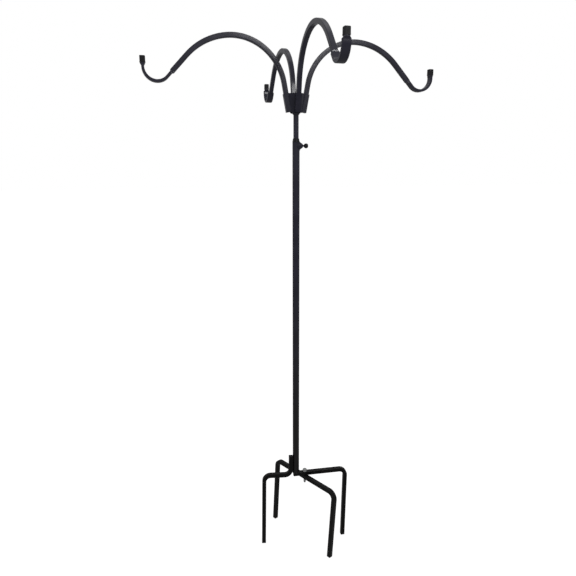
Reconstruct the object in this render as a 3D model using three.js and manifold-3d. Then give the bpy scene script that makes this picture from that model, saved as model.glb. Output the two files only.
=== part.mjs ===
// A four-armed hanging plant stand with a telescoping pole and a folding base of square bars.
// Millimetres, +Z up. The origin is on the ground under the pole; the arms lie along +X, +Y, -X and -Y.
import * as THREE from "three";
import { ConvexGeometry } from "three/addons/geometries/ConvexGeometry.js";
import { mergeVertices } from "three/addons/utils/BufferGeometryUtils.js";
import Module from "manifold-3d";

const wasm = await Module();
wasm.setup();

// ---------------------------------------------------------------- sizes

const seatGap = 0.3; // between two pieces that touch or are welded together
const slideClearance = 0.3; // per side, where one round piece runs in another
const edgeChamfer = 1; // on the ends of turned pieces

// outer pole, standing on the right bar
const poleDiameter = 22;
const poleWall = 1.2;
const poleLength = 1116.5;

// inner pole and the sleeve on its lower end
const innerPoleDiameter = 16;
const innerPoleWall = 1.2;
const innerPoleLength = 820;
const exposedLength = 68.5; // between the guide bush and the hub, as the stand is set now
const sleeveLength = 40;
const sleeveFloor = 2.5;

// guide bush in the mouth of the outer pole
const bushRise = 11;
const bushLip = 0.8; // wall left at the top of its cone
const bushDepth = 6;
const bushRim = 1; // straight rim under the cone

// clamping screw
const screwAzimuth = -15;
const screwBelowMouth = 10.6;
const screwDiameter = 6;
const bossFootRadius = 13.5; // half its height, where it meets the pole
const bossWaistRadius = 8.5;
const bossNoseRadius = 5.4;
const bossSlimness = 0.8; // its width over its height
const bossReach = 10; // beyond the wall of the pole
const neckLength = 3;
const knobDiameter = 14.6;
const knobFlat = 0.9; // cut off each end of the ball
const knobBoreDepth = 6;

// hub and sockets
const armCount = 4;
const coreRadius = 12.4;
const coreHeight = 44;
const coneHeight = 5.2;
const coreRoof = 8; // solid metal over the end of the inner pole
const coreChamfer = 3;
const splayAngle = 10.5;
const socketWall = 1.5;
const socketLength = 53;
const socketFloor = 2;
const socketEdge = 0.5;
const socketAboveCone = 2;
const drainRadius = 3;
const webFootReach = 18; // from the pole's axis to the face of a web between two sockets, at its foot
const webTopReach = 25;
const webHeight = 55;
const webRibWidth = 5;
const armClearance = 0.35; // per side, between an arm and its socket

// arms: a square tube whose outer end is pressed flat into a hook
const armTube = 14;
const armWall = 1.2;
const armCorner = 1.6;
const liningCorner = 0.4; // smallest corner inside the tube
const armStraight = 83; // measured from the foot of the socket
const archInnerRadius = 151;
const archInnerHeading = 97; // degrees from straight up
const archOuterRadius = 185;
const slopeHeading = 137;
const slopeLength = 61;
const pressedThickness = 8;
const pressedCorner = 3;
const pressRamp = 5; // length over which the square tube turns into the flat hook
const shankLength = 22;
const hookRadius = 37;
const tipLength = 26;

// tip caps
const capWall = 0.75;
const capLength = 18;
const capRoof = 1.8;
const capEdge = 0.7;

// base bars
const barSide = 14;
const barEdge = 1.2;
const upperBarHeight = 266; // to the middle of the bar
const bendRadius = 22;
const rightBarAzimuth = -4;
const rightBarReach = 178;
const rightBarStart = -9; // its inner end, past the middle of the pole
const leftBarAzimuth = 170;
const leftBarReach = 111;
const leftBarOffset = 5; // to the front of the pole's axis
const leftBarRise = 72; // of its turned-up end, over the middle of the bar
const crossBarAzimuth = -61.5;
const crossBarReach = 143; // from the bolt to the middle of each prong
const rightProngLean = 1; // degrees that a prong's foot swings in under the bar
const leftProngLean = -1;
const crossProngLean = 4;

// anchor bolt
const boltReach = 31.5; // from the pole's axis
const boltDiameter = 8;
const boltHeadFlats = 13;
const boltHeadHeight = 5.3;
const boltHeadChamfer = 0.4;
const boltTail = 16;
const boltTailTaper = 1.5;
const boltClearance = 0.3;
const washerRadius = 8;
const washerThickness = 1.6;

// roundness
const roundSides = 40;
const smallSides = 24;
const bendSteps = 4;
const arcStep = 6; // degrees along an arm for each step

// ---------------------------------------------------------------- places that follow from the sizes

const radians = THREE.MathUtils.degToRad;
const poleRadius = poleDiameter / 2;
const boreRadius = poleRadius - poleWall;
const innerPoleRadius = innerPoleDiameter / 2;
const sleeveOuter = boreRadius - slideClearance;
const sleeveInner = innerPoleRadius + slideClearance;
const crossBarHeight = upperBarHeight - barSide - seatGap;
const poleFoot = upperBarHeight + barSide / 2 + seatGap;
const poleTop = poleFoot + poleLength;
const hubFoot = poleTop + bushRise + exposedLength;
const coreTop = hubFoot + coreHeight;
const innerPoleTop = coreTop - coreRoof - seatGap;
const innerPoleFoot = innerPoleTop - innerPoleLength;
const socketBore = armTube + 2 * armClearance;
const socketSide = socketBore + 2 * socketWall;
const splay = radians(splayAngle);
const socketFootRadius = coreRadius + seatGap + (socketSide / 2) * Math.cos(splay);
const socketFootHeight = hubFoot + coneHeight + socketAboveCone;
const cornerSaving = 2 * (2 - Math.SQRT2) * (pressedCorner - armCorner);
const pressedWidth = 2 * armTube - pressedThickness + cornerSaving; // pressed flat, the tube keeps its girth
const capBore = armTube + 2 * seatGap;
const capSide = capBore + 2 * capWall;
const screwRadius = screwDiameter / 2;
const screwHoleRadius = screwRadius + seatGap;
const screwHeight = poleTop - screwBelowMouth;
const bossNose = poleRadius + bossReach;
const knobStart = bossNose + neckLength;
const washerFoot = upperBarHeight + barSide / 2 + seatGap;

// ---------------------------------------------------------------- solids

// A geometry as a manifold solid, with only its positions kept.
function toSolid(geometry) {
  const bare = geometry.index ? geometry.toNonIndexed() : geometry.clone();
  bare.deleteAttribute("normal");
  bare.deleteAttribute("uv");
  const merged = mergeVertices(bare, 1e-4);
  return new wasm.Manifold(
    new wasm.Mesh({
      numProp: 3,
      vertProperties: merged.attributes.position.array,
      triVerts: new Uint32Array(merged.index.array),
    }),
  );
}

function toGeometry(solid) {
  const mesh = solid.getMesh();
  const geometry = new THREE.BufferGeometry();
  geometry.setAttribute("position", new THREE.BufferAttribute(Float32Array.from(mesh.vertProperties), 3));
  geometry.setIndex(new THREE.BufferAttribute(Uint32Array.from(mesh.triVerts), 1));
  geometry.computeVertexNormals();
  return geometry;
}

function cut(geometry, ...tools) {
  const left = tools.reduce((solid, tool) => solid.subtract(toSolid(tool)), toSolid(geometry));
  return toGeometry(left);
}

function join(first, second) {
  return toGeometry(toSolid(first).add(toSolid(second)));
}

// A turned piece about Z from [radius, height] points that run up the outside.
function turned(profile, sides = roundSides) {
  const points = profile.map(([radius, height]) => new THREE.Vector2(radius, height));
  return new THREE.LatheGeometry(points, sides).rotateX(Math.PI / 2);
}

// A turned ring or tube: its profile closes on itself.
function turnedRing(profile, sides = roundSides) {
  return turned([...profile, profile[0]], sides);
}

function rod(radius, length, sides = smallSides) {
  return new THREE.CylinderGeometry(radius, radius, length, sides).rotateX(Math.PI / 2);
}

// ---------------------------------------------------------------- outlines

function squareOutline(side, corner) {
  const h = side / 2;
  const shape = new THREE.Shape();
  shape.absarc(h - corner, h - corner, corner, 0, Math.PI / 2);
  shape.absarc(corner - h, h - corner, corner, Math.PI / 2, Math.PI);
  shape.absarc(corner - h, corner - h, corner, Math.PI, 1.5 * Math.PI);
  shape.absarc(h - corner, corner - h, corner, 1.5 * Math.PI, 2 * Math.PI);
  shape.closePath();
  return shape;
}

// A closed outline through corners {at, radius}, each rounded by an arc where its radius is over 0.
// Its first two corners are sharp, because an arc joins only a line or curve that is already there.
function roundedOutline(corners) {
  const shape = new THREE.Shape();
  corners.forEach(({ at, radius }, i) => {
    const before = corners[(i + corners.length - 1) % corners.length].at;
    const after = corners[(i + 1) % corners.length].at;
    if (radius <= 0) {
      if (i === 0) shape.moveTo(at.x, at.y);
      else shape.lineTo(at.x, at.y);
      return;
    }
    const back = before.clone().sub(at).normalize();
    const on = after.clone().sub(at).normalize();
    const half = Math.acos(back.dot(on)) / 2;
    const centre = back.clone().add(on).setLength(radius / Math.sin(half)).add(at);
    const from = back.multiplyScalar(radius / Math.tan(half)).add(at).sub(centre).angle();
    const to = on.clone().multiplyScalar(radius / Math.tan(half)).add(at).sub(centre).angle();
    const turn = at.clone().sub(before).cross(after.clone().sub(at));
    shape.absarc(centre.x, centre.y, radius, from, to, turn < 0);
  });
  shape.closePath();
  return shape;
}

// The side of a bent bar: a path of straight stretches moved sideways, with mitred corners.
function mitredOffset(path, distance) {
  return path.map((point, i) => {
    const into = i > 0 ? point.clone().sub(path[i - 1]) : path[1].clone().sub(point);
    const out = i < path.length - 1 ? path[i + 1].clone().sub(point) : into;
    const first = new THREE.Vector2(-into.y, into.x).normalize();
    const second = new THREE.Vector2(-out.y, out.x).normalize();
    return first
      .clone()
      .add(second)
      .multiplyScalar(distance / (1 + first.dot(second)))
      .add(point);
  });
}

// A prong's end, slid along its own side to the ground.
function toGround(end, next) {
  return next.clone().lerp(end, next.y / (next.y - end.y));
}

// A square bar bent in the XZ plane along a path of [x, z] points. Ends at height 0 are cut level.
function bentBar(path, radius) {
  const points = path.map(([x, z]) => new THREE.Vector2(x, z));
  const last = points.length - 1;
  const sides = [1, -1].map((side) => {
    const line = mitredOffset(points, (side * barSide) / 2);
    if (points[0].y === 0) line[0] = toGround(line[0], line[1]);
    if (points[last].y === 0) line[last] = toGround(line[last], line[last - 1]);
    return line.map((at, i) => {
      if (i === 0 || i === last) return { at, radius: 0 };
      const into = points[i].clone().sub(points[i - 1]);
      const turn = Math.sign(into.cross(points[i + 1].clone().sub(points[i])));
      return { at, radius: radius - (turn * side * barSide) / 2 };
    });
  });
  const [[innerFoot, ...innerSide], outerSide] = sides;
  const outline = roundedOutline([innerFoot, ...outerSide, ...innerSide.reverse()]);
  const geometry = new THREE.ExtrudeGeometry(outline, {
    depth: barSide - 2 * barEdge,
    curveSegments: bendSteps,
    bevelThickness: barEdge,
    bevelSize: barEdge,
    bevelOffset: -barEdge,
    bevelSegments: 2,
  });
  return geometry.translate(0, 0, barEdge - barSide / 2).rotateX(Math.PI / 2);
}

// A square cup that stands on Z = 0: a socket, or a cap when it is turned over.
function squareCup(side, bore, length, floor, edge) {
  const outer = new THREE.ExtrudeGeometry(squareOutline(side - 2 * edge, armCorner), {
    depth: length - 2 * edge,
    curveSegments: 2,
    bevelThickness: edge,
    bevelSize: edge,
    bevelSegments: 2,
  }).translate(0, 0, edge);
  const pocket = new THREE.ExtrudeGeometry(squareOutline(bore, armCorner), {
    depth: length,
    curveSegments: 2,
    bevelEnabled: false,
  }).translate(0, 0, floor);
  return cut(outer, pocket);
}

// ---------------------------------------------------------------- pole

function outerPole() {
  const tube = turnedRing([
    [boreRadius, poleFoot],
    [poleRadius, poleFoot],
    [poleRadius, poleTop],
    [boreRadius, poleTop],
  ]);
  const screwHole = rod(screwHoleRadius, poleDiameter)
    .rotateY(Math.PI / 2)
    .translate(poleRadius, 0, screwHeight)
    .rotateZ(radians(screwAzimuth));
  return cut(tube, screwHole);
}

function guideBush() {
  const seat = poleTop + seatGap;
  const mouth = innerPoleRadius + slideClearance;
  return turnedRing([
    [mouth, poleTop - bushDepth],
    [boreRadius - slideClearance, poleTop - bushDepth],
    [boreRadius - slideClearance, seat],
    [poleRadius, seat],
    [poleRadius, seat + bushRim],
    [mouth + bushLip, poleTop + bushRise],
    [mouth, poleTop + bushRise],
  ]);
}

function innerPole() {
  const bore = innerPoleRadius - innerPoleWall;
  return turnedRing([
    [bore, innerPoleFoot],
    [innerPoleRadius, innerPoleFoot],
    [innerPoleRadius, innerPoleTop],
    [bore, innerPoleTop],
  ]);
}

// The sleeve that carries the lower end of the inner pole and runs in the bore of the outer one.
function slideSleeve() {
  const top = innerPoleFoot - seatGap;
  const foot = top - sleeveFloor;
  const vent = innerPoleRadius - innerPoleWall - edgeChamfer;
  return turnedRing([
    [vent, foot],
    [sleeveOuter - edgeChamfer, foot],
    [sleeveOuter, foot + edgeChamfer],
    [sleeveOuter, foot + sleeveLength],
    [sleeveInner, foot + sleeveLength],
    [sleeveInner, top],
    [vent, top],
  ]);
}

// ---------------------------------------------------------------- clamping screw

// Its three pieces lie along +X, measured from the axis of the pole.

function screwBoss() {
  const middle = poleRadius + bossReach / 2;
  const body = turned(
    [
      [0, 0],
      [bossFootRadius, 0],
      [bossFootRadius, poleRadius - edgeChamfer],
      [bossWaistRadius, middle],
      [bossNoseRadius, bossNose - edgeChamfer],
      [bossNoseRadius - edgeChamfer / 2, bossNose],
      [0, bossNose],
    ],
    smallSides,
  )
    .rotateY(Math.PI / 2)
    .scale(1, bossSlimness, 1);
  const hole = rod(screwHoleRadius, 4 * bossNose).rotateY(Math.PI / 2);
  return cut(body, rod(poleRadius + seatGap, 4 * bossFootRadius, roundSides), hole);
}

function screwShank() {
  const start = innerPoleRadius + seatGap;
  const end = knobStart + knobBoreDepth - seatGap;
  return turned(
    [
      [0, start],
      [screwRadius - edgeChamfer, start],
      [screwRadius, start + edgeChamfer],
      [screwRadius, end],
      [0, end],
    ],
    smallSides,
  ).rotateY(Math.PI / 2);
}

// A ball with its two ends cut flat, bored for the screw.
function screwKnob() {
  const radius = knobDiameter / 2;
  const centre = knobStart + radius - knobFlat;
  const first = Math.acos(1 - knobFlat / radius);
  const steps = 10;
  const ball = Array.from({ length: steps + 1 }, (_, i) => {
    const angle = first + ((Math.PI - 2 * first) * i) / steps;
    return [radius * Math.sin(angle), centre - radius * Math.cos(angle)];
  });
  const bore = screwRadius + seatGap;
  const boreEnd = knobStart + knobBoreDepth;
  const [start] = [...ball[0]].reverse();
  const [end] = [...ball.at(-1)].reverse();
  const profile = [[0, boreEnd], [bore, boreEnd], [bore, start], ...ball, [0, end]];
  return turned(profile, smallSides).rotateY(Math.PI / 2);
}

// ---------------------------------------------------------------- hub

// A web between two neighbouring sockets: a wedge that widens upwards with them, on a rib to the core.
function hubWeb() {
  const foot = hubFoot + coneHeight;
  const near = socketSide / 2 + seatGap;
  const corners = [[webFootReach, foot], [webTopReach, foot + webHeight]].flatMap(([reach, height]) => {
    const far = reach * Math.SQRT2 - near;
    return [[near, near], [far, near], [near, far]].map(([x, y]) => new THREE.Vector3(x, y, height));
  });
  const ribHeight = coreHeight - coneHeight - coreChamfer;
  const rib = new THREE.BoxGeometry(webFootReach - coreRadius, webRibWidth, ribHeight)
    .translate(coreRadius, 0, foot + ribHeight / 2)
    .rotateZ(Math.PI / armCount);
  return join(new ConvexGeometry(corners), rib);
}

function hubCore() {
  const bore = innerPoleRadius + seatGap;
  const core = turned([
    [0, innerPoleTop + seatGap],
    [bore, innerPoleTop + seatGap],
    [bore, hubFoot],
    [bore + edgeChamfer, hubFoot],
    [coreRadius, hubFoot + coneHeight],
    [coreRadius, coreTop - coreChamfer],
    [coreRadius - coreChamfer, coreTop],
    [0, coreTop],
  ]);
  const web = hubWeb();
  const quarter = (2 * Math.PI) / armCount;
  return Array.from({ length: armCount }, (_, i) => web.clone().rotateZ(i * quarter)).reduce(join, core);
}

function armSocket() {
  const cup = squareCup(socketSide, socketBore, socketLength, socketFloor, socketEdge);
  return cut(cup, rod(drainRadius, 4 * socketFloor));
}

// ---------------------------------------------------------------- arms

// The middle line of an arm in the XZ plane, from its foot to its tip: stations {x, z, heading, pressed}.
function armStations() {
  const start = socketFloor + seatGap;
  const list = [{ x: start * Math.sin(splay), z: start * Math.cos(splay), heading: splay, pressed: false }];
  const straight = (length, pressed = false) => {
    const { x, z, heading } = list.at(-1);
    list.push({ x: x + length * Math.sin(heading), z: z + length * Math.cos(heading), heading, pressed });
  };
  const arc = (radius, endHeading, pressed = false) => {
    const from = list.at(-1);
    const sweep = radians(endHeading) - from.heading;
    const bend = Math.sign(sweep) * radius;
    const steps = Math.ceil(Math.abs(sweep) / radians(arcStep));
    for (let i = 1; i <= steps; i += 1) {
      const heading = from.heading + (sweep * i) / steps;
      const x = from.x + bend * (Math.cos(from.heading) - Math.cos(heading));
      const z = from.z + bend * (Math.sin(heading) - Math.sin(from.heading));
      list.push({ x, z, heading, pressed });
    }
  };
  straight(armStraight - start);
  arc(archInnerRadius, archInnerHeading);
  arc(archOuterRadius, slopeHeading);
  straight(slopeLength);
  straight(pressRamp, true);
  straight(shankLength - pressRamp, true);
  arc(hookRadius, 0, true);
  straight(tipLength - capLength - seatGap - pressRamp, true);
  straight(pressRamp);
  straight(capLength + seatGap);
  return list;
}

const stations = armStations();
const armTip = stations.at(-1);

// One ring of eight points about a station, across the tube (Y) and in the plane of the arm.
function armRing({ x, z, heading }, width, thickness, corner) {
  const w = width / 2;
  const t = thickness / 2;
  const corners = [
    [t, corner - w],
    [t, w - corner],
    [t - corner, w],
    [corner - t, w],
    [-t, w - corner],
    [-t, corner - w],
    [corner - t, -w],
    [t - corner, -w],
  ];
  return corners.map(([out, y]) => [x + out * Math.cos(heading), y, z - out * Math.sin(heading)]);
}

// A hollow arm, open at both ends: the square tube, its pressed hook and the square tip.
function arm() {
  const ringOf = (station, wall) => {
    const [width, thickness, corner] = station.pressed
      ? [pressedWidth, pressedThickness, pressedCorner]
      : [armTube, armTube, armCorner];
    return armRing(station, width - 2 * wall, thickness - 2 * wall, Math.max(corner - wall, liningCorner));
  };
  const outer = stations.map((station) => ringOf(station, 0));
  const inner = stations.map((station) => ringOf(station, armWall));
  return hollowSweep(outer, inner);
}

// Joins matching rings into one closed tube: outer skin, inner skin and the rims at both ends.
function hollowSweep(outer, inner) {
  const sides = outer[0].length;
  const last = outer.length - 1;
  const positions = [...outer, ...inner].flat(2);
  const index = [];
  const at = (ring, side) => ring * sides + (side % sides);
  const quad = (a, b, c, d) => index.push(a, b, c, a, c, d);
  for (let side = 0; side < sides; side += 1) {
    for (let ring = 0; ring < last; ring += 1) {
      const lining = ring + last + 1;
      quad(at(ring, side), at(ring, side + 1), at(ring + 1, side + 1), at(ring + 1, side));
      quad(at(lining, side), at(lining + 1, side), at(lining + 1, side + 1), at(lining, side + 1));
    }
    quad(at(0, side), at(last + 1, side), at(last + 1, side + 1), at(0, side + 1));
    quad(at(last, side), at(last, side + 1), at(2 * last + 1, side + 1), at(2 * last + 1, side));
  }
  const geometry = new THREE.BufferGeometry();
  geometry.setAttribute("position", new THREE.Float32BufferAttribute(positions, 3));
  geometry.setIndex(index);
  geometry.computeVertexNormals();
  return geometry;
}

// The cap stands with its roof just over the end of the tube.
function tipCap() {
  return squareCup(capSide, capBore, capLength, capRoof, capEdge).rotateX(Math.PI);
}

// ---------------------------------------------------------------- base

function boltHole(height) {
  return rod(boltDiameter / 2 + boltClearance, 2 * barSide).translate(0, 0, height);
}

// Each bar is bent in its own XZ plane; a prong's foot is where its lean brings it.
function footShift(height, lean) {
  return height * Math.tan(radians(lean));
}

function rightBar() {
  const foot = rightBarReach - footShift(upperBarHeight, rightProngLean);
  const path = [[foot, 0], [rightBarReach, upperBarHeight], [rightBarStart, upperBarHeight]];
  const bar = bentBar(path, bendRadius);
  return cut(bar, boltHole(upperBarHeight).translate(boltReach, 0, 0));
}

// Its inner end turns up and is welded to the side of the pole.
function leftBar() {
  const foot = leftBarReach - footShift(upperBarHeight, leftProngLean);
  const riser = poleRadius + seatGap + barSide / 2;
  return bentBar(
    [
      [foot, 0],
      [leftBarReach, upperBarHeight],
      [riser, upperBarHeight],
      [riser, upperBarHeight + leftBarRise],
    ],
    bendRadius,
  );
}

// One bar with a prong at both ends, held under the right bar by the bolt.
function crossBar() {
  const shift = footShift(crossBarHeight, crossProngLean);
  const bar = bentBar(
    [
      [crossBarReach - shift, 0],
      [crossBarReach, crossBarHeight],
      [-crossBarReach, crossBarHeight],
      [-crossBarReach - shift, 0],
    ],
    bendRadius,
  );
  return cut(bar, boltHole(crossBarHeight));
}

function anchorWasher() {
  const hole = boltDiameter / 2 + boltClearance;
  return turnedRing(
    [
      [hole, washerFoot],
      [washerRadius, washerFoot],
      [washerRadius, washerFoot + washerThickness],
      [hole, washerFoot + washerThickness],
    ],
    smallSides,
  );
}

function anchorBolt() {
  const headFoot = washerFoot + washerThickness + seatGap;
  const headTop = headFoot + boltHeadHeight;
  const tail = crossBarHeight - barSide / 2 - boltTail;
  const across = boltHeadFlats / Math.cos(Math.PI / 6);
  const rim = 0.01; // keeps the crown's flat top clear of the prism's
  const prism = rod(across / 2, boltHeadHeight, 6).translate(0, 0, headFoot + boltHeadHeight / 2);
  const crown = turned([
    [0, headFoot - edgeChamfer],
    [across, headFoot - edgeChamfer],
    [across, headTop - edgeChamfer - across / 2],
    [boltHeadFlats / 2 - boltHeadChamfer, headTop + rim],
    [0, headTop + rim],
  ]);
  const head = toGeometry(toSolid(prism).intersect(toSolid(crown)));
  const shank = turned(
    [
      [0, tail],
      [boltDiameter / 2 - edgeChamfer, tail],
      [boltDiameter / 2, tail + boltTailTaper],
      [boltDiameter / 2, headFoot + edgeChamfer],
      [0, headFoot + edgeChamfer],
    ],
    smallSides,
  );
  return join(head, shank);
}

// ---------------------------------------------------------------- assembly

const headBlack = { color: 0x2a2a30, roughness: 0.42, metalness: 0.0 };
const baseBlack = { color: 0x191818, roughness: 0.48, metalness: 0.0 };
const plasticBlack = { color: 0x202024, roughness: 0.55, metalness: 0.0 };
const zinc = { color: 0xb9bec2, roughness: 0.35, metalness: 1.0 };
const blackZinc = { color: 0x2b2b2e, roughness: 0.4, metalness: 0.8 };

function part(name, geometry, look) {
  const mesh = new THREE.Mesh(geometry, new THREE.MeshStandardMaterial(look));
  mesh.name = name;
  return mesh;
}

function turnedGroup(azimuth, ...children) {
  const group = new THREE.Group();
  group.rotation.z = radians(azimuth);
  group.add(...children);
  return group;
}

function clampingScrew() {
  const group = turnedGroup(
    screwAzimuth,
    part("thumbscrew_boss", screwBoss(), headBlack),
    part("thumbscrew_shank", screwShank(), blackZinc),
    part("thumbscrew_knob", screwKnob(), plasticBlack),
  );
  group.position.z = screwHeight;
  return group;
}

// One socket with its arm and cap, leaning out along local +X.
function armAssembly(side, azimuth) {
  const socket = part(`socket_${side}`, armSocket(), headBlack);
  socket.rotation.y = splay;
  const cap = part(`tip_cap_${side}`, tipCap(), plasticBlack);
  cap.position.set(armTip.x, 0, armTip.z + seatGap + capRoof);
  const group = turnedGroup(azimuth, socket, part(`arm_${side}`, arm(), headBlack), cap);
  const foot = new THREE.Vector3(socketFootRadius, 0, socketFootHeight);
  group.position.copy(foot.applyAxisAngle(new THREE.Vector3(0, 0, 1), radians(azimuth)));
  return group;
}

const sides = ["right", "back", "left", "front"];
const arms = Array.from({ length: armCount }, (_, i) => armAssembly(sides[i], (360 * i) / armCount));

const bolt = new THREE.Group();
bolt.add(part("anchor_washer", anchorWasher(), zinc), part("anchor_bolt", anchorBolt(), zinc));
const cross = turnedGroup(crossBarAzimuth - rightBarAzimuth, part("cross_bar", crossBar(), baseBlack));
bolt.position.x = boltReach;
cross.position.x = boltReach;

const left = part("left_bar", leftBar(), baseBlack);
left.position.y = leftBarOffset;

const stand = new THREE.Group();
stand.add(
  turnedGroup(rightBarAzimuth, part("right_bar", rightBar(), baseBlack), bolt, cross),
  turnedGroup(leftBarAzimuth, left),
  part("outer_pole", outerPole(), headBlack),
  part("guide_bush", guideBush(), plasticBlack),
  clampingScrew(),
  part("inner_pole", innerPole(), headBlack),
  part("slide_sleeve", slideSleeve(), plasticBlack),
  part("hub_core", hubCore(), headBlack),
  ...arms,
);

export default stand;
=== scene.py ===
import math

import bmesh
import bpy
from mathutils import Matrix, Vector


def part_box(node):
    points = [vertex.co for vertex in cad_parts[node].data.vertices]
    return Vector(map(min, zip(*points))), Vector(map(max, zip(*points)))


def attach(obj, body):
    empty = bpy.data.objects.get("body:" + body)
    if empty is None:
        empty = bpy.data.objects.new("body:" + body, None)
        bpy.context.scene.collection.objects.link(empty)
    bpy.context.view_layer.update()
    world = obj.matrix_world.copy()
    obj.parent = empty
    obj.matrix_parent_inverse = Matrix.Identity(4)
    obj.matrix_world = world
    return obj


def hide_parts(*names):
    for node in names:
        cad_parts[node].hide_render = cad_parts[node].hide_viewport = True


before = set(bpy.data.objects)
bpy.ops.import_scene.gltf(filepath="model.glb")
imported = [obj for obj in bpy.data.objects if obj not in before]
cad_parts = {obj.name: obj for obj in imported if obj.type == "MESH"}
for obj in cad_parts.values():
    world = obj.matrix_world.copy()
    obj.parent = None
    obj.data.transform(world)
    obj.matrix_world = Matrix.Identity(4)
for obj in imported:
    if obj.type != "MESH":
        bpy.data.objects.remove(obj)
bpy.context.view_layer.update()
mm = 0.001
scene = bpy.context.scene


# ---------------------------------------------------------------- outer pole
# The main pole is a round steel tube, sawn square and deburred. It is powder coated in a satin black
# with a faint blue-grey cast. Low down it is painted darker and more neutral: a painted shade towards the
# ground.


class Amount:
    """A number that varies over a surface. Arithmetic on it adds Math nodes."""

    def __init__(self, finish, socket):
        self.finish = finish
        self.socket = socket

    def worked(self, operation, first, second):
        made = self.finish.node("ShaderNodeMath", {"operation": operation}, {0: first, 1: second})
        return Amount(self.finish, made.outputs[0])

    def __add__(self, other):
        return self.worked("ADD", self, other)

    def __sub__(self, other):
        return self.worked("SUBTRACT", self, other)

    def __mul__(self, other):
        return self.worked("MULTIPLY", self, other)

    __radd__ = __add__


class Finish:
    """A material of nodes that read the piece's own coordinates, in metres."""

    def __init__(self, name, **even):
        self.material = bpy.data.materials.new(name)
        self.material.use_nodes = True
        self.tree = self.material.node_tree
        self.shader = self.tree.nodes["Principled BSDF"]
        for socket, value in even.items():
            self.shader.inputs[socket.replace("_", " ")].default_value = value
        self.place = self.node("ShaderNodeTexCoord").outputs["Object"]

    def node(self, kind, settings=None, sockets=None):
        """Adds a node. Its settings come first, then the values or links of its sockets."""
        made = self.tree.nodes.new(kind)
        for name, value in (settings or {}).items():
            setattr(made, name, value)
        for name, value in (sockets or {}).items():
            self.feed(made.inputs[name], value)
        return made

    def feed(self, socket, value):
        if isinstance(value, Amount):
            value = value.socket
        if isinstance(value, bpy.types.NodeSocket):
            self.tree.links.new(value, socket)
        else:
            socket.default_value = value

    def noise(self, size, detail=3.0):
        """Soft blotches of about the given size, in metres."""
        mapped = self.node("ShaderNodeMapping", {}, {"Vector": self.place, "Scale": [1 / size] * 3})
        sockets = {"Vector": mapped.outputs[0], "Scale": 1.0, "Detail": detail, "Roughness": 0.55}
        return Amount(self, self.node("ShaderNodeTexNoise", {}, sockets).outputs[0])

    def between(self, amount, low, high):
        """0 where amount is under low, 1 where it is over high."""
        sockets = {"Value": amount, "From Min": low, "From Max": high}
        return Amount(self, self.node("ShaderNodeMapRange", {}, sockets).outputs[0])

    def height(self):
        """The height over the ground, in metres, as the stand is set at rest."""
        return Amount(self, self.node("ShaderNodeSeparateXYZ", {}, {0: self.place}).outputs["Z"])

    def facing_up(self):
        """1 on surfaces that look straight up, 0 on walls and undersides."""
        normal = self.node("ShaderNodeNewGeometry").outputs["Normal"]
        upward = self.node("ShaderNodeSeparateXYZ", {}, {0: normal}).outputs["Z"]
        return self.between(upward, 0.2, 1.0)

    def mix(self, first, second, amount):
        """A colour between two colours."""
        made = self.node("ShaderNodeMix", {"data_type": "RGBA"}, {0: amount, 6: first, 7: second})
        return made.outputs[2]

    def use(self, colour, roughness, relief=None, depth=0.0):
        """Links what varies to the shader, with an optional relief of the given depth in metres."""
        self.feed(self.shader.inputs["Base Color"], colour)
        self.feed(self.shader.inputs["Roughness"], roughness)
        if relief:
            bump = self.node("ShaderNodeBump", {}, {"Height": relief, "Distance": depth})
            self.feed(self.shader.inputs["Normal"], bump.outputs[0])
        return self.material


dust_colour = (0.07, 0.068, 0.07, 1)


def powder_coat(name, colour, sheen_colour, dust, shine, foot_shade_colour=None):
    """Satin powder coat: orange peel, cloudy gloss and a little dust, darkened low down by a painted shade.
    """
    finish = Finish(name, Specular_IOR_Level=shine)
    clouds = finish.noise(45 * mm)
    specks = finish.noise(1.1 * mm, detail=2.0)
    peel = finish.noise(2.4 * mm, detail=2.0)
    coat = finish.mix(colour, sheen_colour, finish.between(clouds * 0.7 + specks * 0.3, 0.35, 0.7))
    # Painted shade: from 1.1 m down to 0.55 m the coat is mixed into a darker, more neutral colour.
    if foot_shade_colour:
        unshaded_share = finish.between(finish.height() + clouds * 0.2, 0.55, 1.1)
        coat = finish.mix(foot_shade_colour, coat, unshaded_share)
    settled = finish.facing_up() * finish.between(finish.noise(14 * mm), 0.4, 0.75) * dust
    coat = finish.mix(coat, dust_colour, settled)
    gloss = 0.13 + clouds * 0.1 + specks * 0.04 + settled * 0.5
    return finish.use(coat, gloss, peel * 0.75 + specks * 0.25, depth=0.008 * mm)


head_black = powder_coat(
    "head_powder_coat",
    colour=(0.023, 0.0222, 0.038, 1),
    sheen_colour=(0.042, 0.041, 0.065, 1),
    dust=0.06,
    shine=0.45,
    # The darker colour of the painted shade towards the ground on the pole.
    foot_shade_colour=(0.010, 0.009, 0.0095, 1),
)


def soften(bm, width, steps=3, least=40):
    """Rounds every edge that turns by more than least degrees."""
    sharp = [e for e in bm.edges if e.is_manifold and e.calc_face_angle() > math.radians(least)]
    bmesh.ops.bevel(
        bm,
        geom=sharp,
        offset=width,
        offset_type="OFFSET",
        segments=steps,
        profile=0.5,
        affect="EDGES",
        material=-1,
        clamp_overlap=True,
    )


def finished(bm, name, body, material, stands_for=()):
    """Makes a mesh a piece of the stand: smooth, outwards, on its body and in its CAD nodes' stead."""
    bmesh.ops.remove_doubles(bm, verts=bm.verts, dist=0.5e-6)
    bmesh.ops.recalc_face_normals(bm, faces=bm.faces)
    mesh = bpy.data.meshes.new(name)
    bm.to_mesh(mesh)
    bm.free()
    mesh.shade_smooth()
    mesh.set_sharp_from_angle(angle=math.radians(50))
    mesh.materials.append(material)
    piece = bpy.data.objects.new(name, mesh)
    scene.collection.objects.link(piece)
    even = piece.modifiers.new("even_shading", "WEIGHTED_NORMAL")
    even.keep_sharp = True
    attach(piece, body)
    if stands_for:
        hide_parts(*stands_for)


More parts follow.
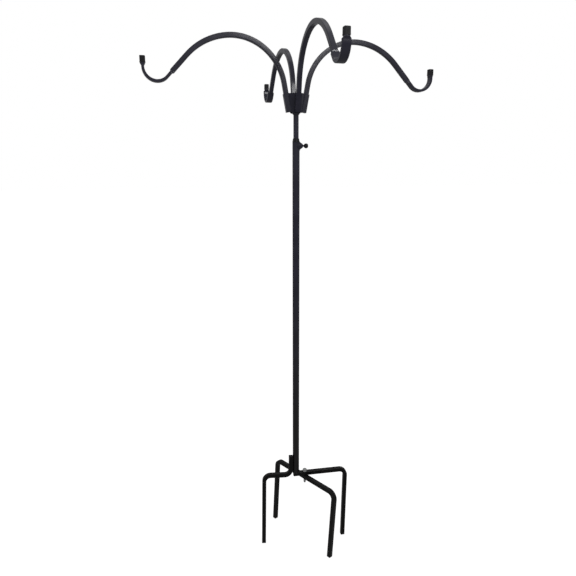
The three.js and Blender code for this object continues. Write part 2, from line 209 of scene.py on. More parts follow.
def turned(profile, steps=72, closed=True):
    """A turned piece about Z: its (radius, height) profile spun once round. A closed profile is a ring."""
    bm = bmesh.new()
    points = [bm.verts.new((radius, 0, height)) for radius, height in profile]
    ends = points[1:] + points[:1] if closed else points[1:]
    line = [bm.edges.new(pair) for pair in zip(points, ends)]
    bmesh.ops.spin(
        bm,
        geom=points + line,
        cent=(0, 0, 0),
        axis=(0, 0, 1),
        dvec=(0, 0, 0),
        angle=math.tau,
        steps=steps,
        use_merge=True,
        use_duplicate=False,
    )
    bmesh.ops.remove_doubles(bm, verts=bm.verts, dist=1e-6)
    bmesh.ops.recalc_face_normals(bm, faces=bm.faces)
    return bm


def tube(outer, wall, foot, top):
    """A round tube as a closed ring profile."""
    return [(outer - wall, foot), (outer, foot), (outer, top), (outer - wall, top)]


pole_low, pole_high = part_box("outer_pole")
pole_radius = pole_high.x
pole_foot = pole_low.z
pole_top = pole_high.z
pole_wall = 1.2 * mm

bm = turned(tube(pole_radius, pole_wall, pole_foot, pole_top))
soften(bm, 0.3 * mm, 2)
finished(bm, "pole_tube", "base", head_black, ["outer_pole"])


# ---------------------------------------------------------------- guide bush
# A moulded bush is pushed into the mouth of the outer pole. Its cone wipes the inner pole as it slides,
# and a rim keeps it from dropping in.


def moulded(name, colour, roughness):
    """Black moulded plastic: a fine spark-eroded grain with slightly shinier patches."""
    finish = Finish(name, Specular_IOR_Level=0.25)
    grain = finish.noise(0.5 * mm, detail=1.0)
    patches = finish.noise(9 * mm)
    worn = finish.between(patches, 0.45, 0.7)
    tint = finish.mix(colour, [c * 1.6 for c in colour[:3]] + [1], worn * 0.6 + grain * 0.3)
    return finish.use(tint, roughness + grain * 0.1 - worn * 0.08, grain, depth=0.04 * mm)


black_plastic = moulded("black_moulding", colour=(0.012, 0.012, 0.0145, 1), roughness=0.46)

# Pieces that sit in or on each other stand this far apart.
gap = 0.3 * mm
bush_low, bush_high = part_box("guide_bush")
inner_low, inner_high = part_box("inner_pole")
inner_radius = inner_high.x
bush_mouth = inner_radius + gap
bush_lip = 0.8 * mm
bush_spigot = pole_radius - pole_wall - gap
bush_seat = pole_top + gap
rim_top = bush_seat + 1.2 * mm

bm = turned(
    [
        (bush_mouth, bush_low.z),
        (bush_spigot, bush_low.z),
        (bush_spigot, bush_seat),
        (pole_radius, bush_seat),
        (pole_radius, rim_top),
        (bush_mouth + bush_lip + 0.4 * mm, bush_high.z - 1.2 * mm),
        (bush_mouth + bush_lip, bush_high.z),
        (bush_mouth, bush_high.z),
    ]
)
soften(bm, 0.25 * mm, 2, least=25)
finished(bm, "mouth_bush", "base", black_plastic, ["guide_bush"])


# ---------------------------------------------------------------- inner pole and its sleeve
# A slimmer steel tube carries the head and slides in the outer pole. A plastic sleeve with two shallow
# grooves is pushed on its lower end and runs in the bore.

inner_wall = 1.2 * mm
bm = turned(tube(inner_radius, inner_wall, inner_low.z, inner_high.z), steps=64)
soften(bm, 0.3 * mm, 2)
finished(bm, "inner_tube", "head", head_black, ["inner_pole"])

sleeve_low, sleeve_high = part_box("slide_sleeve")
sleeve_radius = sleeve_high.x
sleeve_bore = inner_radius + gap
sleeve_vent = inner_radius - inner_wall - 1 * mm
groove = 0.7 * mm
grooves = [sleeve_low.z + 12 * mm, sleeve_low.z + 27 * mm]
outside = [(sleeve_radius - 1 * mm, sleeve_low.z), (sleeve_radius, sleeve_low.z + 1 * mm)]
for middle in grooves:
    outside += [
        (sleeve_radius, middle - 1.5 * mm),
        (sleeve_radius - groove, middle - 0.8 * mm),
        (sleeve_radius - groove, middle + 0.8 * mm),
        (sleeve_radius, middle + 1.5 * mm),
    ]
floor_top = inner_low.z - gap
bm = turned(
    [(sleeve_vent, sleeve_low.z)]
    + outside
    + [
        (sleeve_radius, sleeve_high.z),
        (sleeve_bore, sleeve_high.z),
        (sleeve_bore, floor_top),
        (sleeve_vent, floor_top),
    ],
    steps=56,
)
finished(bm, "running_sleeve", "sleeve", black_plastic, ["slide_sleeve"])


# ---------------------------------------------------------------- clamping screw
# A turned boss sits astride the pole in a weld. The screw in it clamps the inner pole: a black-plated
# thread with a moulded ball for a knob, which has a parting line round it and flats at its ends.

screw_turn = math.radians(-15)
screw_below_mouth = 10.6 * mm
screw_height = pole_top - screw_below_mouth
along_screw = (
    Matrix.Rotation(screw_turn, 4, "Z")
    @ Matrix.Translation((0, 0, screw_height))
    @ Matrix.Rotation(math.pi / 2, 4, "Y")
)
boss_foot = 13.5 * mm
boss_waist = 8.5 * mm
boss_nose = 5.4 * mm
boss_slimness = 0.8
boss_reach = 10 * mm
boss_end = pole_radius + boss_reach
screw_radius = 3 * mm
screw_hole = screw_radius + gap
saddle_sink = 0.6 * mm
saddle = pole_radius - saddle_sink
saddle_low = 2.5 * mm

bm = turned(
    [
        (screw_hole, saddle),
        (boss_foot - 0.5 * mm, saddle),
        (boss_foot, saddle + 0.5 * mm),
        (boss_foot - 0.9 * mm, pole_radius + 0.2 * mm),
        (boss_waist + 1 * mm, pole_radius + boss_reach * 0.34),
        (boss_waist - 0.8 * mm, pole_radius + boss_reach * 0.62),
        (boss_nose, boss_end - 1 * mm),
        (boss_nose - 0.7 * mm, boss_end),
        (screw_hole, boss_end),
    ],
    steps=48,
)
# The outside is slimmer than it is tall, and the hole stays round. The foot is let down onto the pole.
outer_points = [v for v in bm.verts if v.co.to_2d().length > screw_hole + 0.1 * mm]
bmesh.ops.scale(bm, vec=(1, boss_slimness, 1), verts=outer_points)
for vert in bm.verts:
    if vert.co.z < pole_radius - 0.05 * mm:
        sunk = math.sqrt(max(saddle**2 - vert.co.y**2, saddle_low**2)) - saddle
        bmesh.ops.translate(bm, vec=(0, 0, sunk), verts=[vert])
soften(bm, 0.4 * mm, 2, least=30)
bmesh.ops.transform(bm, matrix=along_screw, verts=bm.verts)
finished(bm, "clamp_boss", "base", head_black, ["thumbscrew_boss"])


def draw(bm, ring, places):
    """Draws a ring of edges along places, which are matrices. The ring is made in the XY plane."""
    points = list({v for e in ring for v in e.verts})
    bmesh.ops.transform(bm, matrix=places[0], verts=points)
    for before, after in zip(places, places[1:]):
        made = bmesh.ops.extrude_edge_only(bm, edges=ring)["geom"]
        points = [g for g in made if isinstance(g, bmesh.types.BMVert)]
        fresh = set(points)
        ring = [g for g in made if isinstance(g, bmesh.types.BMEdge) and fresh.issuperset(g.verts)]
        bmesh.ops.transform(bm, matrix=after @ before.inverted(), verts=points)


def weld(name, body, route, width, spacing=1.6 * mm):
    """A weld bead along a route: a row of small ripples, as the torch pauses. The route gives a place for
    each share of its length, and that length."""
    place_at, length = route
    ripples = max(4, round(length / spacing))
    trough = 0.86
    thin_end = 0.15
    places = []
    for i in range(2 * ripples + 1):
        share = i / (2 * ripples)
        taper = min(1.0, 4 * min(share, 1 - share) * ripples / 3 + thin_end)
        swell = taper * (1.0 if i % 2 else trough)
        places.append(place_at(share) @ Matrix.Diagonal((swell, swell, 1, 1)))
    bm = bmesh.new()
    bmesh.ops.create_circle(bm, cap_ends=False, segments=10, radius=width / 2)
    draw(bm, list(bm.edges), places)
    bmesh.ops.holes_fill(bm, edges=bm.edges, sides=0)
    finished(bm, name, body, head_black)


def saddle_route(half_height, half_width, start, sweep):
    """A line round the boss on the wall of the pole, in degrees from straight up."""

    def point(turn):
        across = half_width * math.sin(turn)
        return Vector((-half_height * math.cos(turn), across, math.sqrt(pole_radius**2 - across**2)))

    def place_at(share):
        turn = math.radians(start + sweep * share)
        middle = point(turn)
        along = (point(turn + 0.01) - point(turn - 0.01)).normalized()
        outwards = Vector((0, middle.y, middle.z)).normalized()
        axes = Matrix((outwards, along.cross(outwards), along)).transposed()
        return along_screw @ Matrix.Translation(middle) @ axes.to_4x4()

    return place_at, (half_height + half_width) / 2 * math.radians(sweep)


boss_weld_open = 52
boss_weld_sweep = 360 - 2 * boss_weld_open
route = saddle_route(boss_foot, boss_foot * boss_slimness, boss_weld_open, boss_weld_sweep)
weld("weld_boss", "base", route, width=2.4 * mm, spacing=2.4 * mm)


def zinc_plate(name, colour, cloud_colour):
    """Zinc plate: a metal with cloudy passivation and fine turning marks."""
    finish = Finish(name, Metallic=1.0)
    clouds = finish.noise(5 * mm)
    marks = finish.noise(0.35 * mm, detail=2.0)
    plate = finish.mix(colour, cloud_colour, finish.between(clouds, 0.35, 0.65))
    return finish.use(plate, 0.24 + clouds * 0.16 + marks * 0.1, marks, depth=0.03 * mm)


zinc = zinc_plate("zinc_plate", (0.5, 0.52, 0.54, 1), (0.7, 0.7, 0.68, 1))
black_zinc = zinc_plate("black_zinc_plate", (0.03, 0.03, 0.034, 1), (0.06, 0.06, 0.066, 1))


def threaded(foot, end, radius, pitch, chamfer):
    """The profile of a plain thread from foot to end, closed on the axis, with a chamfered tip at end."""
    depth = 0.6 * pitch
    toward = 1 if end > foot else -1
    turns = round(abs(end - foot - toward * chamfer) / pitch)
    profile = [(0, foot)]
    for i in range(turns):
        start = foot + toward * i * pitch
        profile += [(radius - depth, start), (radius, start + toward * pitch / 2)]
    tip = foot + toward * turns * pitch
    tip_step = 0.3 * mm
    return profile + [(radius - depth, tip), (radius - depth - tip_step, end), (0, end)]


knob_radius = 7.3 * mm
knob_flat = 0.9 * mm
neck_length = 3 * mm
knob_start = boss_end + neck_length
knob_middle = knob_start + knob_radius - knob_flat
knob_bore = screw_radius + gap
knob_bore_depth = 6 * mm
knob_bore_end = knob_start + knob_bore_depth
shank_start = inner_radius + gap
shank_depth = 5.7 * mm
shank_end = knob_start + shank_depth
screw_pitch = 1 * mm
screw_chamfer = 0.8 * mm

thread_profile = threaded(shank_end, shank_start, screw_radius, screw_pitch, screw_chamfer)
bm = turned(thread_profile, steps=36, closed=False)
bmesh.ops.transform(bm, matrix=along_screw, verts=bm.verts)
finished(bm, "clamp_screw", "screw", black_zinc, ["thumbscrew_shank"])

flat_angle = math.acos(1 - knob_flat / knob_radius)
parting_line = 0.12 * mm
dish = 0.5 * mm
ball_steps = 24
ball = []
for i in range(ball_steps + 1):
    angle = flat_angle + (math.pi - 2 * flat_angle) * i / ball_steps
    cut = parting_line if i == ball_steps / 2 else 0.0
    ball.append(((knob_radius - cut) * math.sin(angle), knob_middle - knob_radius * math.cos(angle)))
flat_radius, knob_end = ball[-1]
bm = turned(
    [(0, knob_bore_end), (knob_bore, knob_bore_end), (knob_bore, ball[0][1])]
    + ball
    + [(flat_radius - 0.5 * mm, knob_end), (flat_radius - 1 * mm, knob_end - dish), (0, knob_end - dish)],
    steps=48,
    closed=False,
)
bmesh.ops.transform(bm, matrix=along_screw, verts=bm.verts)
finished(bm, "ball_knob", "knob", black_plastic, ["thumbscrew_knob"])


# ---------------------------------------------------------------- hub
# A cast core is pressed over the inner pole. Four cups of square tube stand round it, splayed outwards,
# and each takes the foot of one arm. A web of the casting is welded to the cups between each two.

hub_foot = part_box("hub_core")[0].z
core_radius = 12.4 * mm
core_height = 44 * mm
core_top = hub_foot + core_height
cone_height = 5.2 * mm
core_chamfer = 3 * mm
core_bore = inner_radius + gap
core_roof = inner_high.z + gap

bm = turned(
    [
        (0, core_roof),
        (core_bore, core_roof),
        (core_bore, hub_foot),
        (core_bore + 1 * mm, hub_foot),
        (core_radius, hub_foot + cone_height),
        (core_radius, core_top - core_chamfer),
        (core_radius - core_chamfer, core_top),
        (0, core_top),
    ],
    steps=64,
    closed=False,
)
soften(bm, 0.6 * mm, 3, least=20)
finished(bm, "hub_barrel", "head", head_black, ["hub_core"])

sides = {"right": 0, "back": 90, "left": 180, "front": 270}
splay = math.radians(10.5)
arm_side = 14 * mm
socket_wall = 1.5 * mm
socket_play = 0.7 * mm
socket_bore = arm_side + socket_play
socket_side = socket_bore + 2 * socket_wall
socket_length = 53 * mm
socket_floor = 2 * mm
socket_drain = 3 * mm
drain_points = 20
tube_corner = 1.8 * mm
socket_foot_radius = core_radius + gap + socket_side / 2 * math.cos(splay)
socket_step = 2 * mm
socket_foot_height = hub_foot + cone_height + socket_step


def square_ring(bm, side, corner, height=0.0):
    """A ring of edges: a square with rounded corners, level at a height."""
    known = set(bm.verts)
    made = bmesh.ops.create_grid(bm, x_segments=1, y_segments=1, size=side / 2)["verts"]
    bmesh.ops.translate(bm, vec=(0, 0, height), verts=made)
    bmesh.ops.bevel(
        bm,
        geom=made,
        offset=corner,
        offset_type="OFFSET",
        segments=4,
        profile=0.5,
        affect="VERTICES",
        material=-1,
    )
    points = [v for v in bm.verts if v not in known]
    faces = {f for v in points for f in v.link_faces}
    ring = list({e for v in points for e in v.link_edges})
    bmesh.ops.delete(bm, geom=list(faces), context="FACES_ONLY")
    return ring


def round_ring(bm, radius, points, height):
    """A round ring of edges, level at a height."""
    turn = Matrix.Translation((0, 0, height)) @ Matrix.Rotation(math.pi / points, 4, "Z")
    made = bmesh.ops.create_circle(bm, cap_ends=False, segments=points, radius=radius, matrix=turn)
    return list({e for v in made["verts"] for e in v.link_edges})


def skinned(bm, rings, closed):
    """Walls between each ring and the next, and from the last to the first of a closed row."""
    following = rings[1:] + rings[:1] if closed else rings[1:]
    for ring, after in zip(rings, following):
        bmesh.ops.bridge_loops(bm, edges=ring + after)


def at_side(azimuth):
    """The place of a socket's foot: its local Z runs straight up, its local X away from the pole."""
    turn = Matrix.Rotation(math.radians(azimuth), 4, "Z")
    return turn @ Matrix.Translation((socket_foot_radius, 0, socket_foot_height))


for side, azimuth in sides.items():
    bm = bmesh.new()
    skinned(
        bm,
        [
            square_ring(bm, socket_side, tube_corner, 0),
            square_ring(bm, socket_side, tube_corner, socket_length),
            square_ring(bm, socket_bore, tube_corner / 2, socket_length),
            square_ring(bm, socket_bore, tube_corner / 2, socket_floor),
            round_ring(bm, socket_drain, drain_points, socket_floor),
            round_ring(bm, socket_drain, drain_points, 0),
        ],
        closed=True,
    )
    bmesh.ops.recalc_face_normals(bm, faces=bm.faces)
    soften(bm, 0.35 * mm, 2, least=60)
    place = at_side(azimuth) @ Matrix.Rotation(splay, 4, "Y")
    bmesh.ops.transform(bm, matrix=place, verts=bm.verts)
    finished(bm, f"arm_cup_{side}", "head", head_black, [f"socket_{side}"])


web_seam = socket_side / 2 + gap
web_foot = hub_foot + cone_height
web_height = 55 * mm
web_foot_reach = 18 * mm
web_top_reach = 25 * mm
web_ends = [(web_foot_reach, web_foot), (web_top_reach, web_foot + web_height)]
web_weld_inset = 0.4 * mm
web_weld_width = 2.2 * mm
web_weld_short = Vector((0, 0, 2 * mm))


def line_route(start, end):
    """A straight route between two points."""
    turn = (end - start).to_track_quat("Z", "X").to_matrix().to_4x4()

    def place_at(share):
        return Matrix.Translation(start.lerp(end, share)) @ turn

    return place_at, (end - start).length


for side, azimuth in sides.items():
    bm = bmesh.new()
    rings = []
    seams = {"a": [], "b": []}
    for reach, height in web_ends:
        far = reach * math.sqrt(2) - web_seam
        corners = [(web_seam, web_seam), (far, web_seam), (web_seam, far)]
        points = [bm.verts.new((x, y, height)) for x, y in corners]
        rings.append([bm.edges.new(pair) for pair in zip(points, points[1:] + points[:1])])
        seams["a"].append(Vector((far - web_weld_inset, web_seam, height)))
        seams["b"].append(Vector((web_seam, far - web_weld_inset, height)))
    skinned(bm, rings, closed=False)
    bmesh.ops.holes_fill(bm, edges=bm.edges, sides=0)
    bmesh.ops.recalc_face_normals(bm, faces=bm.faces)
    soften(bm, 0.8 * mm, 3, least=30)
    turn = Matrix.Rotation(math.radians(azimuth), 4, "Z")
    bmesh.ops.transform(bm, matrix=turn, verts=bm.verts)
    finished(bm, f"hub_web_{side}", "head", head_black)
    for letter, seam in seams.items():
        foot, top = (turn @ end for end in seam)
        route = line_route(foot + web_weld_short, top - web_weld_short)
        weld(f"weld_web_{side}_{letter}", "head", route, web_weld_width)


# ---------------------------------------------------------------- arms
# Each arm is one length of square steel tube, bent over a former. Its outer end is pressed flat, wider
# and thinner than the tube, and curled up into a hook, and a short square tip is left for the cap.

arm_wall = 1.2 * mm
arm_straight = 83 * mm
arm_start = socket_floor + gap
crest_radius = 151 * mm
crest_heading = 97
slope_radius = 185 * mm
slope_heading = 137
slope_straight = 61 * mm
hook_shank = 22 * mm
hook_radius = 37 * mm
pressed_thickness = 8 * mm
pressed_width = 21.6 * mm
press_ramp = 5 * mm
press_shares = [0.12, 0.5, 0.88, 1.0]
tip_cap_length = 18 * mm
tip_length = 26 * mm
tip_square = tip_cap_length + gap


def stretch(place, length, turn=0.0, steps=1):
    """The places met along a stretch of middle line that turns evenly, by turn degrees in all."""
    half = math.radians(turn) / steps / 2
    chord = length / steps * (math.sin(half) / half if half else 1.0)
    step = Matrix.Rotation(half, 4, "Y") @ Matrix.Translation((0, 0, chord)) @ Matrix.Rotation(half, 4, "Y")
    met = []
    for _ in range(steps):
        place = place @ step
        met.append(place)
    return met


def bend(place, radius, turn):
    """A bend of a middle line: about 3 degrees to a step."""
    return stretch(place, radius * math.radians(abs(turn)), turn, max(2, round(abs(turn) / 3)))


def pressed(place, share=1.0):
    """A place where the tube is squeezed by a share of its full pressing."""
    thin = 1 + (pressed_thickness / arm_side - 1) * share
    wide = 1 + (pressed_width / arm_side - 1) * share
    return place @ Matrix.Diagonal((thin, wide, 1, 1))


def squeeze(place, shares):
    """The places of a short ramp between square tube and flat hook, with the share pressed at each."""
    met = stretch(place, press_ramp, steps=len(shares))
    return met, [pressed(p, share) for p, share in zip(met, shares)]


def arm_places():
    """The middle line of an arm, from its foot in the socket to its tip. Headings are from straight up."""
    foot = Matrix.Rotation(splay, 4, "Y") @ Matrix.Translation((0, 0, arm_start))
    places = [foot] + stretch(foot, arm_straight - arm_start)
    places += bend(places[-1], crest_radius, crest_heading - math.degrees(splay))
    places += bend(places[-1], slope_radius, slope_heading - crest_heading)
    places += stretch(places[-1], slope_straight)
    on, ramp = squeeze(places[-1], press_shares)
    shank = stretch(on[-1], hook_shank - press_ramp)
    hook = bend(shank[-1], hook_radius, -slope_heading)
    rise = stretch(hook[-1], tip_length - tip_square - press_ramp)
    out, back = squeeze(rise[-1], [1 - share for share in press_shares])
    places += ramp + [pressed(p) for p in shank + hook + rise] + back
    return places + stretch(out[-1], tip_square)


places = arm_places()
arm_tip = places[-1].translation
for side, azimuth in sides.items():
    bm = bmesh.new()
    draw(bm, square_ring(bm, arm_side, tube_corner), places)
    bmesh.ops.recalc_face_normals(bm, faces=bm.faces)
    bmesh.ops.solidify(bm, geom=bm.faces, thickness=arm_wall)
    bmesh.ops.transform(bm, matrix=at_side(azimuth), verts=bm.verts)
    finished(bm, f"hook_arm_{side}", f"arm_{side}", head_black, [f"arm_{side}"])


# ---------------------------------------------------------------- tip caps
# A moulded cap is pushed over the square tip of each arm, with a crowned roof and a thin bead round
# its mouth.

cap_wall = 0.75 * mm
cap_play = 0.6 * mm
cap_bore = arm_side + cap_play
cap_side = cap_bore + 2 * cap_wall
cap_roof = 1.8 * mm
cap_headroom = 0.25 * mm
cap_top = arm_tip.z + cap_headroom + cap_roof
cap_foot = cap_top - tip_cap_length
cap_corner = tube_corner + 0.5 * mm
bead = 0.35 * mm

for side, azimuth in sides.items():
    bm = bmesh.new()
    outer = [
        square_ring(bm, cap_side - 2 * bead, cap_corner, cap_foot + 2.6 * mm),
        square_ring(bm, cap_side - 2 * bead, cap_corner, cap_top - 2.4 * mm),
        square_ring(bm, cap_side - 3 * bead, cap_corner, cap_top - 1.2 * mm),
        square_ring(bm, cap_side - 7 * bead, cap_corner, cap_top - 0.35 * mm),
        square_ring(bm, cap_side - 16 * bead, cap_corner, cap_top),
    ]
    mouth = [
        square_ring(bm, cap_bore, tube_corner, cap_top - cap_roof),
        square_ring(bm, cap_bore, tube_corner, cap_foot),
        square_ring(bm, cap_side, cap_corner, cap_foot),
        square_ring(bm, cap_side, cap_corner, cap_foot + 1.8 * mm),
    ]
    skinned(bm, mouth + outer, closed=False)
    bmesh.ops.holes_fill(bm, edges=bm.edges, sides=0)
    bmesh.ops.recalc_face_normals(bm, faces=bm.faces)
    soften(bm, 0.25 * mm, 2, least=60)
    bmesh.ops.translate(bm, vec=(arm_tip.x, 0, 0), verts=bm.verts)
    bmesh.ops.transform(bm, matrix=at_side(azimuth), verts=bm.verts)
    finished(bm, f"end_cap_{side}", f"arm_{side}", black_plastic, [f"tip_cap_{side}"])


# ---------------------------------------------------------------- base bars
# Three lengths of square steel bar are bent cold into prongs, sawn off level and painted black. The
# right bar runs under the pole, and the left bar's inner end turns up beside it. Both are welded to it.

bar_paint = powder_coat(
    "bar_paint",
    colour=(0.0035, 0.0032, 0.0033, 1),
    sheen_colour=(0.008, 0.0074, 0.0075, 1),
    dust=0.12,
    shine=0.22,
)
bar_side = 14 * mm
bar_corner = 1.2 * mm
upper_height = 266 * mm
bend_radius = 22 * mm
spare = 8 * mm


def bent_bar(corners, place):
    """A square bar bent along (x, z) corners in its own XZ plane and sawn level at the ground."""
    points = [Vector((x, 0, z)) for x, z in corners]
    ways = [after - before for before, after in zip(points, points[1:])]
    headings = [math.degrees(math.atan2(way.x, way.z)) for way in ways]
    turns = [(b - a + 180) % 360 - 180 for a, b in zip(headings, headings[1:])]
    cuts = [bend_radius * math.tan(math.radians(abs(turn)) / 2) for turn in turns]
    start = Matrix.Translation(points[0]) @ Matrix.Rotation(math.radians(headings[0]), 4, "Y")
    route = [start]
    for i, way in enumerate(ways):
        before = cuts[i - 1] if i else 0.0
        after = cuts[i] if i < len(cuts) else 0.0
        route += stretch(route[-1], way.length - before - after)
        if i < len(turns):
            route += bend(route[-1], bend_radius, turns[i])
    bm = bmesh.new()
    draw(bm, square_ring(bm, bar_side, bar_corner), route)
    everything = list(bm.verts) + list(bm.edges) + list(bm.faces)
    bmesh.ops.bisect_plane(bm, geom=everything, plane_co=(0, 0, 0), plane_no=(0, 0, -1), clear_outer=True)
    bmesh.ops.holes_fill(bm, edges=bm.edges, sides=0)
    bmesh.ops.recalc_face_normals(bm, faces=bm.faces)
    soften(bm, 0.3 * mm, 2, least=60)
    bmesh.ops.transform(bm, matrix=place, verts=bm.verts)
    return bm


def foot_below(x, height, lean):
    """A corner just below the ground, on a prong whose foot lies lean degrees towards -X of its top."""
    return (x - (height + spare) * math.tan(math.radians(lean)), -spare)


right_azimuth = -4
right_start = -9 * mm
right_reach = 178 * mm
right_lean = 1
turn_right = Matrix.Rotation(math.radians(right_azimuth), 4, "Z")
bm = bent_bar(
    [
        (right_start, upper_height),
        (right_reach, upper_height),
        foot_below(right_reach, upper_height, right_lean),
    ],
    turn_right,
)
finished(bm, "prong_right", "base", bar_paint, ["right_bar"])

left_azimuth = 170
left_aside = 5 * mm
left_reach = 111 * mm
left_lean = -1
riser = pole_radius + gap + bar_side / 2
riser_height = 72 * mm
riser_top = upper_height + riser_height
turn_left = Matrix.Rotation(math.radians(left_azimuth), 4, "Z") @ Matrix.Translation((0, left_aside, 0))
bm = bent_bar(
    [
        (riser, riser_top),
        (riser, upper_height),
        (left_reach, upper_height),
        foot_below(left_reach, upper_height, left_lean),
    ],
    turn_left,
)
finished(bm, "prong_left", "base", bar_paint, ["left_bar"])

bolt_reach = 31.5 * mm
at_bolt = turn_right @ Matrix.Translation((bolt_reach, 0, 0))
cross_azimuth = -61.5
cross_height = upper_height - bar_side - gap
cross_reach = 143 * mm
cross_lean = 4
turn_cross = at_bolt @ Matrix.Rotation(math.radians(cross_azimuth - right_azimuth), 4, "Z")
bm = bent_bar(
    [
        foot_below(-cross_reach, cross_height, cross_lean),
        (-cross_reach, cross_height),
        (cross_reach, cross_height),
        foot_below(cross_reach, cross_height, cross_lean),
    ],
    turn_cross,
)
finished(bm, "prong_pair", "cross", bar_paint, ["cross_bar"])

seam_reach = pole_radius + gap
seam_foot = pole_foot + 14 * mm
riser_seams = {"a": (-2.2 * mm, riser_top - 3 * mm), "b": (7 * mm, riser_top - 5 * mm)}
for letter, (edge, seam_top) in riser_seams.items():
    foot = turn_left @ Vector((seam_reach, edge - left_aside, seam_foot))
    top = turn_left @ Vector((seam_reach, edge - left_aside, seam_top))
    weld(f"weld_riser_{letter}", "base", line_route(foot, top), width=2.6 * mm)


def round_route(radius, height):
    """A level circle about the pole's axis."""

    def place_at(share):
        turn = Matrix.Rotation(math.tau * share, 4, "Z")
        return turn @ Matrix.Translation((radius, 0, height)) @ Matrix.Rotation(-math.pi / 2, 4, "X")

    return place_at, radius * math.tau


weld_lift = 0.2 * mm
weld("weld_pole_foot", "base", round_route(pole_radius + weld_lift, pole_foot + weld_lift), width=3.4 * mm)


# ---------------------------------------------------------------- anchor bolt and washer
# A zinc-plated hexagon bolt with a washer clamps the cross bar under the right bar. Its head is
# chamfered and its thread comes out below.

washer_low, washer_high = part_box("anchor_washer")
washer_radius = 8 * mm
washer_hole = 4.3 * mm
bm = turned(tube(washer_radius, washer_radius - washer_hole, washer_low.z, washer_high.z), steps=48)
soften(bm, 0.3 * mm, 2)
bmesh.ops.transform(bm, matrix=at_bolt, verts=bm.verts)
finished(bm, "bolt_washer", "washer", zinc, ["anchor_washer"])

bolt_low, bolt_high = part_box("anchor_bolt")
bolt_radius = 4 * mm
head_flats = 13 * mm
head_foot = washer_high.z + gap
head_top = bolt_high.z
head_corner = head_flats / 2 / math.cos(math.pi / 6)
at_head = Matrix.Translation((0, 0, head_foot))

bm = bmesh.new()
bmesh.ops.create_circle(bm, cap_ends=True, segments=6, radius=head_corner, matrix=at_head)
made = bmesh.ops.extrude_face_region(bm, geom=list(bm.faces), use_keep_orig=True)["geom"]
lifted = [g for g in made if isinstance(g, bmesh.types.BMVert)]
bmesh.ops.translate(bm, vec=(0, 0, head_top - head_foot), verts=lifted)
bmesh.ops.recalc_face_normals(bm, faces=bm.faces)
soften(bm, 0.6 * mm, 3, least=70)
bmesh.ops.transform(bm, matrix=at_bolt, verts=bm.verts)
finished(bm, "bolt_head", "bolt", zinc)

bolt_pitch = 1.25 * mm
bolt_chamfer = 1.2 * mm
thread_profile = threaded(head_foot + 1 * mm, bolt_low.z, bolt_radius, bolt_pitch, bolt_chamfer)
bm = turned(thread_profile, steps=40, closed=False)
bmesh.ops.transform(bm, matrix=at_bolt, verts=bm.verts)
finished(bm, "bolt_thread", "bolt", zinc, ["anchor_bolt"])


# ---------------------------------------------------------------- floor, light and camera
# A plain pale studio: a floor that shows white to the camera and keeps the stand's shadow, a soft
# white surround, and three soft round lamps.

floor_size = 30.0
floor_drop = 0.0005
floor_glow = 0.86
ambient_strength = 0.32
white = (1, 1, 1, 1)

floor_mesh = bpy.data.meshes.new("studio_floor")
bm = bmesh.new()
bmesh.ops.create_grid(bm, x_segments=1, y_segments=1, size=floor_size)
bm.to_mesh(floor_mesh)
bm.free()
studio_floor = bpy.data.objects.new("studio_floor", floor_mesh)
scene.collection.objects.link(studio_floor)
studio_floor.location.z = -floor_drop
paper = Finish("studio_paper", Roughness=0.95, Specular_IOR_Level=0.1)
paper.shader.inputs["Base Color"].default_value = (0.5, 0.5, 0.5, 1)
paper.shader.inputs["Emission Color"].default_value = white
seen = Amount(paper, paper.node("ShaderNodeLightPath").outputs["Is Camera Ray"])
paper.feed(paper.shader.inputs["Emission Strength"], seen * floor_glow)
floor_mesh.materials.append(paper.material)

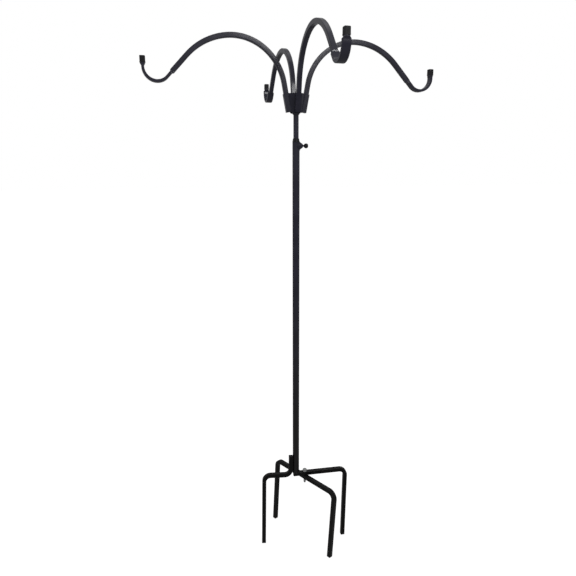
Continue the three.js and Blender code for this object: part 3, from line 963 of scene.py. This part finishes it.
surround = bpy.data.worlds.new("studio_surround")
surround.use_nodes = True
scene.world = surround
nodes = surround.node_tree.nodes
links = surround.node_tree.links
ambient = nodes["Background"]
ambient.inputs["Color"].default_value = white
ambient.inputs["Strength"].default_value = ambient_strength
shown = nodes.new("ShaderNodeBackground")
shown.inputs["Color"].default_value = white
shown.inputs["Strength"].default_value = 1.0
choose = nodes.new("ShaderNodeMixShader")
path = nodes.new("ShaderNodeLightPath")
links.new(path.outputs["Is Camera Ray"], choose.inputs[0])
links.new(ambient.outputs[0], choose.inputs[1])
links.new(shown.outputs[0], choose.inputs[2])
links.new(choose.outputs[0], nodes["World Output"].inputs["Surface"])


def soft_lamp(name, azimuth, elevation, distance, size, power):
    """A soft round lamp that looks at the middle of the stand. Lengths are in metres, power in watts."""
    target = Vector((0, 0, 0.95))
    turn = Matrix.Rotation(math.radians(azimuth), 4, "Z") @ Matrix.Rotation(math.radians(-elevation), 4, "Y")
    lamp_data = bpy.data.lights.new(name, "AREA")
    lamp_data.shape = "DISK"
    lamp_data.size = size
    lamp_data.energy = power
    lamp = bpy.data.objects.new(name, lamp_data)
    scene.collection.objects.link(lamp)
    lamp.location = target + turn @ Vector((distance, 0, 0))
    lamp.rotation_euler = (target - lamp.location).to_track_quat("-Z", "Y").to_euler()


soft_lamp("key_lamp", azimuth=-75, elevation=31, distance=3.4, size=0.8, power=20)
soft_lamp("fill_lamp", azimuth=-165, elevation=40, distance=3.8, size=1.6, power=14)
soft_lamp("top_lamp", azimuth=80, elevation=75, distance=3.4, size=2.0, power=4)

# The camera stands where the stand's lines fall on those of the photograph. Lengths are in metres, and
# the focal length and the slides of the picture are in pixels.
view_turn = math.radians(14.5)
view_pitch = math.radians(12.94)
view_distance = 1.6708
view_height = 1.3211
pole_aside = 2.5 * mm
focal_pixels = 530.4
frame_pixels = 576
slide_right = 7.2
slide_down = -0.7
sensor_width = 36.0

camera_data = bpy.data.cameras.new("photo_camera")
camera_data.sensor_width = sensor_width
camera_data.lens = focal_pixels / frame_pixels * sensor_width
camera_data.shift_x = -slide_right / frame_pixels
camera_data.shift_y = slide_down / frame_pixels
camera = bpy.data.objects.new("photo_camera", camera_data)
scene.collection.objects.link(camera)
to_part = Matrix.Rotation(-view_turn, 4, "Z")
camera.matrix_world = (
    to_part
    @ Matrix.Translation((-pole_aside, -view_distance, view_height))
    @ Matrix.Rotation(math.pi / 2 - view_pitch, 4, "X")
)
scene.camera = camera
scene.view_settings.view_transform = "Standard"
